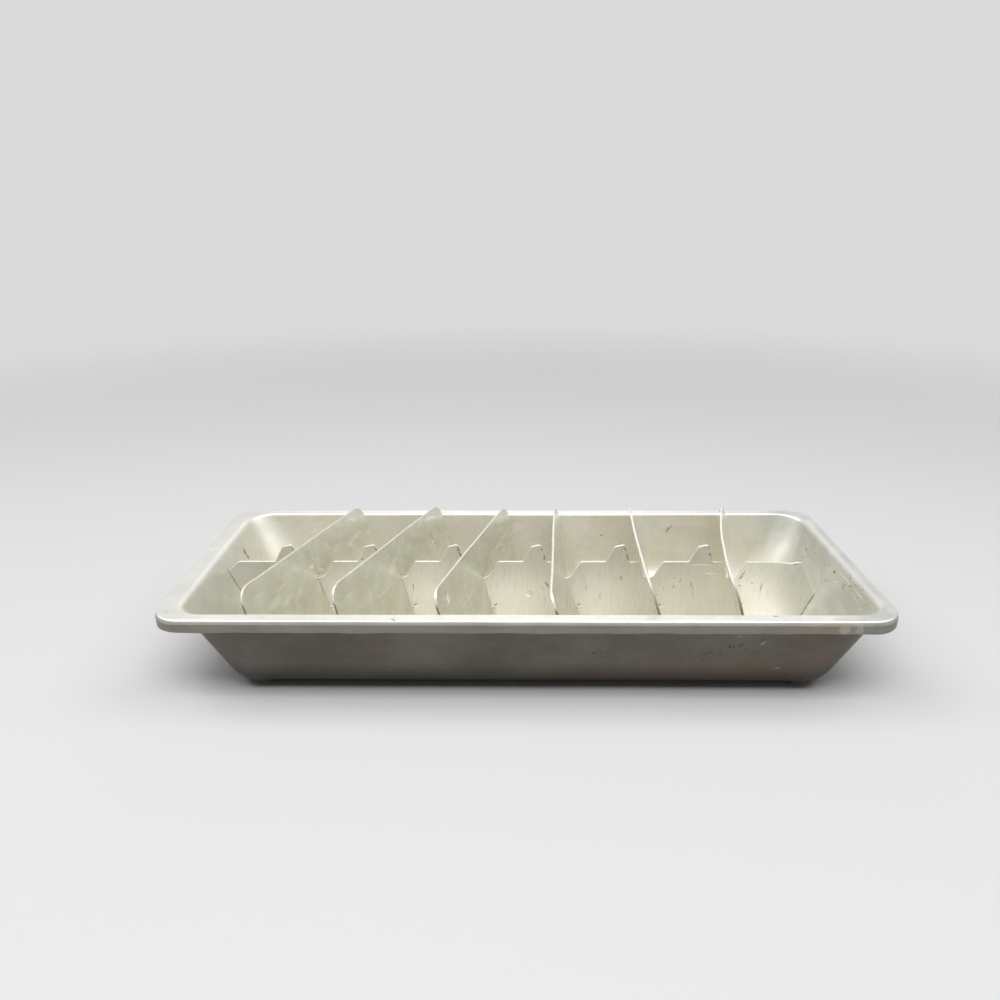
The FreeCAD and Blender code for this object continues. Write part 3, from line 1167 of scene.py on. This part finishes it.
# Painted shade that blackens the outside near its base
base_shade_black = rgb(0.03, 0.027, 0.023)
tarnish_yellow = rgb(0.84, 0.81, 0.67)
rim_white = rgb(0.87, 0.86, 0.83)
scuff_grey = rgb(0.60, 0.59, 0.54)
right_end_grey = rgb(0.57, 0.575, 0.545)
left_end_grey = rgb(0.60, 0.605, 0.565)
stain_brown = rgb(0.58, 0.50, 0.36)
rust = rgb(0.33, 0.165, 0.06)
spine_stroke_dark = rgb(0.52, 0.50, 0.44)
spine_stroke_pale = rgb(0.93, 0.92, 0.86)
edge_speck = rgb(0.46, 0.43, 0.36)
edge_dirt = rgb(0.26, 0.21, 0.13)

# Stretches of the tray where its look changes: heights, and places along it at its two ends
# Heights over which the painted shade near the base fades out
base_shade_heights = (1, 17)
tarnish_heights = (30, 36)
white_heights = (37.0, 37.7)
right_grey_places = (112, 134)
left_grey_places = (-118, -134)
right_scale_places = (112, 128)
left_scale_places = (-112, -126)

# How far below its upper end the dirt of a fin's front edge fades
edge_dirt_fade = 3


def worn_metal(shader, light, dark, rough, brush, lay=False, brush_turn=(0, 0, 0)):
    """Satin sheet metal: mottled tone, fine brushed lines, and a grain.
    Returns the tone's colour, the roughness and the normal."""
    mottle = shader.cloud(60, 4.0, 0.6, lay)
    cloud = shader.cloud(14, 2.0, lay=lay)
    lines = shader.noise(shader.place(brush, brush_turn, lay), 3.0, 0.6)
    grain = shader.cloud(2600, 1.0, lay=lay)
    streak = shader.band(lines, 0.35, 0.65)
    tone = shader.math("ADD", shader.band(mottle, 0.3, 0.7, 0, 0.5), shader.band(cloud, 0.3, 0.7, 0, 0.5))
    tone = shader.math("SUBTRACT", tone, shader.times(streak, 0.25))
    uneven = shader.math("ADD", mottle, shader.times(streak, 0.3))
    normal = shader.bump(grain, 0.00002, 0.3)
    normal = shader.bump(lines, 0.00002, 0.4, normal)
    return shader.mix(tone, dark, light), shader.band(uneven, 0.3, 1.0, *rough), normal


def soil(shader, metal, dirt, scratches_and_highlights, scale, dirt_colour, scale_colour):
    """Dark dirt with some painted shadow among it, pale scratches with some painted highlights among
    them, and a film of mineral scale over a metal. Dirt and scale dull it.
    """
    colour, roughness, normal = metal
    colour = shader.mix(scale, colour, scale_colour)
    colour = shader.mix(scratches_and_highlights, colour, scratch_and_highlight_white)
    colour = shader.mix(dirt, colour, dirt_colour)
    covered = shader.larger(shader.times(scale, 0.6), dirt)
    return shader.finish(colour, shader.larger(roughness, shader.times(covered, 0.7)), normal, covered)


def film(shader, rate, low, high, most, lay=False):
    """Cloudy patches of thin scale, grainy at a small size."""
    patches = shader.band(shader.cloud(rate, 5.0, 0.65, lay), low, high, 0, most)
    grain = shader.band(shader.cloud(1500, 2.0, 0.7, lay), 0.35, 0.6, 0.45, 1.0)
    return shader.times(patches, grain)


def inner_colour(shader, colour, along, height, brown):
    """The tray's inside and rim: tarnished high on the walls, white on the rim, scuffed, and grey at
    both ends."""
    tarnish = shader.times(shader.band(height, *tarnish_heights), shader.band(brown, 0.3, 0.6, 0.2, 0.7))
    colour = shader.mix(tarnish, colour, tarnish_yellow)
    colour = shader.mix(shader.band(height, *white_heights, 0, 0.7), colour, rim_white)
    scuffs = shader.cloud(420, 5.0, 0.75)
    colour = shader.mix(shader.band(scuffs, 0.52, 0.68, 0, 0.35), colour, scuff_grey)
    colour = shader.mix(shader.band(along, *right_grey_places, 0, 0.75), colour, right_end_grey)
    return shader.mix(shader.band(along, *left_grey_places, 0, 0.3), colour, left_end_grey)


def outer_colour(shader, height, brown):
    """The tray's outside: mottled and brown in patches, dark partly for its duller finish and partly as
    painted shade, and painted nearly black with shade near the base.
    """
    mottle = shader.cloud(35, 4.0, 0.6)
    colour = shader.mix(shader.band(mottle, 0.3, 0.7), outside_dark, outside_light)
    colour = shader.mix(shader.band(brown, 0.5, 0.75, 0, 0.7), colour, outside_brown)
    # Painted shade: the outside darkens towards the base, nearly black at the bottom.
    low = shader.band(height, *base_shade_heights, 1, 0)
    return shader.mix(shader.times(low, shader.band(mottle, 0.2, 0.8, 0.75, 0.95)), colour, base_shade_black)


def tray_metal():
    shader = Shader("tray_metal", Metallic=0.85)
    colour, roughness, normal = worn_metal(
        shader,
        light=rgb(0.90, 0.875, 0.80),
        dark=rgb(0.80, 0.775, 0.69),
        rough=(0.37, 0.52),
        brush=(30, 300, 300),
    )
    outside = shader.node("ShaderNodeAttribute", attribute_name="outside").outputs["Fac"]
    inside = shader.rest(outside)
    along, height = shader.coordinate("X"), shader.coordinate("Z")
    brown = shader.noise(shader.place((16, 16, 40)), 3.0)
    colour = inner_colour(shader, colour, along, height, brown)
    # The outside, and the rim's bead and skirt, take the dark outer colour: partly a duller finish,
    # partly painted shade.
    colour = shader.mix(outside, colour, outer_colour(shader, height, brown))
    where = shader.ragged_place()
    colour = shader.mix(shader.marked(where, rim_stains), colour, stain_brown)
    colour = shader.mix(shader.marked(where, rust_spots), colour, rust)
    right_scale = shader.band(along, *right_scale_places, 0.6, 1.6)
    left_scale = shader.band(along, *left_scale_places, 0.6, 1.2)
    scale = shader.times(film(shader, 110, 0.42, 0.62, 0.5), inside)

    def on_both_faces(inner, outer):
        on_inner = shader.times(shader.marked(where, inner), inside)
        on_outer = shader.times(shader.marked(where, outer), outside)
        return shader.larger(on_inner, on_outer)

    return soil(
        shader,
        (colour, roughness, normal),
        # Inside, the dark marks include painted shadow lines beside the spine's ends.
        dirt=on_both_faces(inner_dirt_and_gap_shadows, outer_marks),
        # The pale marks hold scratches inside and painted highlights on the dents outside.
        scratches_and_highlights=on_both_faces(inner_scratches, outer_dent_highlights),
        scale=shader.times(scale, shader.larger(right_scale, left_scale)),
        dirt_colour=rgb(0.05, 0.034, 0.022),
        scale_colour=rgb(0.64, 0.65, 0.60),
    )


def spine_metal():
    shader = Shader("spine_metal", Metallic=0.85)
    colour, roughness, normal = worn_metal(
        shader,
        light=rgb(0.87, 0.86, 0.81),
        dark=rgb(0.80, 0.79, 0.73),
        rough=(0.33, 0.47),
        brush=(900, 60, 60),
        lay=True,
    )
    strokes = shader.noise(shader.place((800, 150, 60), (0, 0, 0.08), lay=True), 3.0, 0.6)
    colour = shader.mix(shader.band(strokes, 0.56, 0.66, 0, 0.16), colour, spine_stroke_dark)
    colour = shader.mix(shader.band(strokes, 0.46, 0.36, 0, 0.25), colour, spine_stroke_pale)
    return soil(
        shader,
        (colour, roughness, shader.bump(strokes, 0.00006, 0.5, normal)),
        dirt=shader.marked(shader.ragged_place(lay=True), spine_marks),
        scratches_and_highlights=0.0,
        scale=film(shader, 70, 0.55, 0.75, 0.3, lay=True),
        dirt_colour=rgb(0.11, 0.085, 0.06),
        scale_colour=rgb(0.85, 0.86, 0.80),
    )


def fin_metal(number):
    shader = Shader(f"fin_{number + 1}_metal", Metallic=0.7)
    metal = worn_metal(
        shader,
        light=rgb(0.85, 0.825, 0.725),
        dark=rgb(0.73, 0.705, 0.59),
        rough=(0.28, 0.42),
        brush=(50, 700, 50),
        lay=True,
        brush_turn=(0, 0, 0.15),
    )
    where = shader.ragged_place(lay=True)
    lines = shader.noise(shader.place((110, 1100, 60), (0, 0, 0.05), lay=True), 2.0, 0.6)
    broken = shader.cloud(170, 4.0, 0.7, lay=True)
    specks = shader.cloud(1100, 2.0, 0.7, lay=True)
    scratched = shader.times(shader.band(lines, 0.55, 0.63), shader.band(broken, 0.5, 0.6, 0, 0.6))
    speckled = shader.times(shader.band(specks, 0.56, 0.64), shader.band(broken, 0.48, 0.58, 0, 0.7))
    pale = shader.larger(scratched, speckled)
    return soil(
        shader,
        metal,
        # The dark marks hold dirt and, just above the slot's end, painted shade.
        dirt=shader.marked(where, fin_dirt_and_slot_shade_marks[number]),
        scratches_and_highlights=shader.larger(pale, shader.marked(where, fin_scale_marks[number])),
        scale=film(shader, 90, 0.38, 0.62, 0.6, lay=True),
        dirt_colour=rgb(0.16, 0.13, 0.09),
        scale_colour=rgb(0.80, 0.84, 0.745),
    )


def cut_metal(name, front_dirt=0.0, dirt_end=0.0, dirt_top=0.0):
    """The bright cut edges of a sheet. The dirt on a fin's front end reaches back to dirt_end along the
    fin and up to dirt_top above its hinge."""
    shader = Shader(name, Metallic=0.6)
    colour, roughness, normal = worn_metal(
        shader,
        light=rgb(0.90, 0.88, 0.82),
        dark=rgb(0.78, 0.75, 0.67),
        rough=(0.3, 0.4),
        brush=(60, 60, 900),
        lay=True,
    )
    along, height = shader.coordinate("X", lay=True), shader.coordinate("Y", lay=True)
    specks = shader.cloud(700, 3.0, 0.7, lay=True)
    colour = shader.mix(shader.band(specks, 0.54, 0.66, 0, 0.45), colour, edge_speck)
    front = shader.band(along, -fin_half_width, dirt_end, front_dirt, 0)
    dirt = shader.times(front, shader.band(height, dirt_top - edge_dirt_fade, dirt_top, 1, 0))
    colour = shader.mix(dirt, colour, edge_dirt)
    return shader.finish(colour, shader.larger(roughness, shader.times(dirt, 0.8)), normal, dirt)


# Studio

# The room's light, and the brightness that it shows to the camera
room_light = 0.15
room_shown = 0.7

# The floor: its colour and how much darker its patches are, its size, and where it turns into the room
floor_colour = (0.62, 0.62, 0.62, 1)
floor_patch = 0.98
floor_radius = 14
floor_sides = 96
floor_drop = 0.0002
floor_fade = (0.3, 1.0)

# Lamps: name, place, width and depth in metres, and power. All of them point at one place.
lamp_target = (0, 0, 0)
lamps = (
    ("top", (0, 0, 1.2), (1.0, 0.8), 1.7),
    ("top_front", (0, -0.5, 1.1), (1.0, 0.5), 10.2),
    ("left_high", (-0.75, 0, 1.0), (0.7, 0.7), 5.4),
    ("right_high", (0.75, 0, 1.0), (0.7, 0.7), 4.2),
    ("back", (0, 1.15, 0.6), (0.7, 0.4), 0.8),
)

# The photograph's camera, as fitted to the tray: its place, its angles in degrees and its lens
camera_place = (-4.678, -319.446, 185.951)
camera_heading = -0.912
camera_down = 20.756
camera_roll = -0.331
camera_sensor = 36.0
camera_lens = 28.8


def floor_material():
    """Matt floor that turns into the room's own brightness well away from the object."""
    shader = Shader("pale_floor", Roughness=0.85)
    patch = tuple(floor_patch * part for part in floor_colour[:3]) + (1,)
    mixed = shader.mix(shader.cloud(3, 2.0), floor_colour, patch)
    links = shader.tree.links
    links.new(mixed, shader.surface.inputs["Base Color"])
    distance = shader.node("ShaderNodeVectorMath", {0: shader.place((1, 1, 1))}, operation="LENGTH")
    far = shader.band(distance.outputs["Value"], *floor_fade)
    room = shader.node("ShaderNodeEmission", {"Color": (1, 1, 1, 1), "Strength": room_shown})
    seen = shader.times(far, seen_rays(shader.tree))
    sockets = {0: seen, 1: shader.surface.outputs[0], 2: room.outputs[0]}
    either = shader.node("ShaderNodeMixShader", sockets)
    links.new(either.outputs[0], shader.tree.nodes["Material Output"].inputs[0])
    return shader.material


def seen_rays(tree):
    """1 for the rays that look at the room: from the camera, off gloss and through glass."""
    path = tree.nodes.new("ShaderNodeLightPath")
    either = path.outputs["Is Camera Ray"]
    for ray in ("Is Glossy Ray", "Is Transmission Ray"):
        most = tree.nodes.new("ShaderNodeMath")
        most.operation = "MAXIMUM"
        tree.links.new(either, most.inputs[0])
        tree.links.new(path.outputs[ray], most.inputs[1])
        either = most.outputs[0]
    return either


def make_floor():
    bpy.ops.mesh.primitive_circle_add(
        vertices=floor_sides, radius=floor_radius, fill_type="NGON", location=(0, 0, -floor_drop)
    )
    floor = bpy.context.object
    floor.name = "floor"
    floor.data.materials.append(floor_material())


def make_world():
    world = bpy.data.worlds.new("soft_room")
    bpy.context.scene.world = world
    world.use_nodes = True
    nodes, links = world.node_tree.nodes, world.node_tree.links
    light = nodes["Background"]
    light.inputs["Color"].default_value = (1, 1, 1, 1)
    light.inputs["Strength"].default_value = room_light
    seen = nodes.new("ShaderNodeBackground")
    seen.inputs["Color"].default_value = (1, 1, 1, 1)
    seen.inputs["Strength"].default_value = room_shown
    mix = nodes.new("ShaderNodeMixShader")
    links.new(seen_rays(world.node_tree), mix.inputs[0])
    links.new(light.outputs[0], mix.inputs[1])
    links.new(seen.outputs[0], mix.inputs[2])
    links.new(mix.outputs[0], nodes["World Output"].inputs[0])


def make_lamp(name, place, size, power):
    data = bpy.data.lights.new(name, "AREA")
    data.shape = "RECTANGLE"
    data.size, data.size_y = size
    data.energy = power
    lamp = bpy.data.objects.new(name, data)
    lamp.location = place
    lamp.rotation_euler = (Vector(lamp_target) - Vector(place)).to_track_quat("-Z", "Y").to_euler()
    lamp.visible_camera = False
    bpy.context.scene.collection.objects.link(lamp)


def make_camera():
    heading = math.radians(camera_heading)
    down = math.radians(camera_down)
    roll = math.radians(camera_roll)
    level_reach = math.cos(down)
    forward = Vector(
        (math.sin(heading) * level_reach, math.cos(heading) * level_reach, -math.sin(down))
    )
    level = Vector((math.cos(heading), -math.sin(heading), 0))
    upright = level.cross(forward)
    right = math.cos(roll) * level + math.sin(roll) * upright
    up = math.cos(roll) * upright - math.sin(roll) * level
    data = bpy.data.cameras.new("camera")
    data.sensor_width = camera_sensor
    data.lens = camera_lens
    camera = bpy.data.objects.new("camera", data)
    turn = Matrix((right, up, -forward)).transposed()
    camera.matrix_world = Matrix.Translation(Vector(camera_place) * MM) @ turn.to_4x4()
    bpy.context.scene.collection.objects.link(camera)
    bpy.context.scene.camera = camera


def add_piece(piece, body):
    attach(piece, body)
    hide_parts(body)


add_piece(make_tray(tray_metal()), "tray")
add_piece(make_spine(spine_metal(), cut_metal("spine_edge_metal")), "spine")
clean_edge = cut_metal("fin_edge_metal", 0.9, -43.0, 12.0)
dirty_edge = cut_metal("dirty_fin_edge_metal", 0.95, -34.0, 20.0)
for number in range(fin_count):
    fin_edge = dirty_edge if number >= first_dirty_fin else clean_edge
    add_piece(make_fin(number, fin_metal(number), fin_edge), f"fin_{number + 1}")

make_floor()
make_world()
for name, place, size, power in lamps:
    make_lamp(name, place, size, power)
make_camera()

bpy.context.scene.view_settings.view_transform = "Standard"
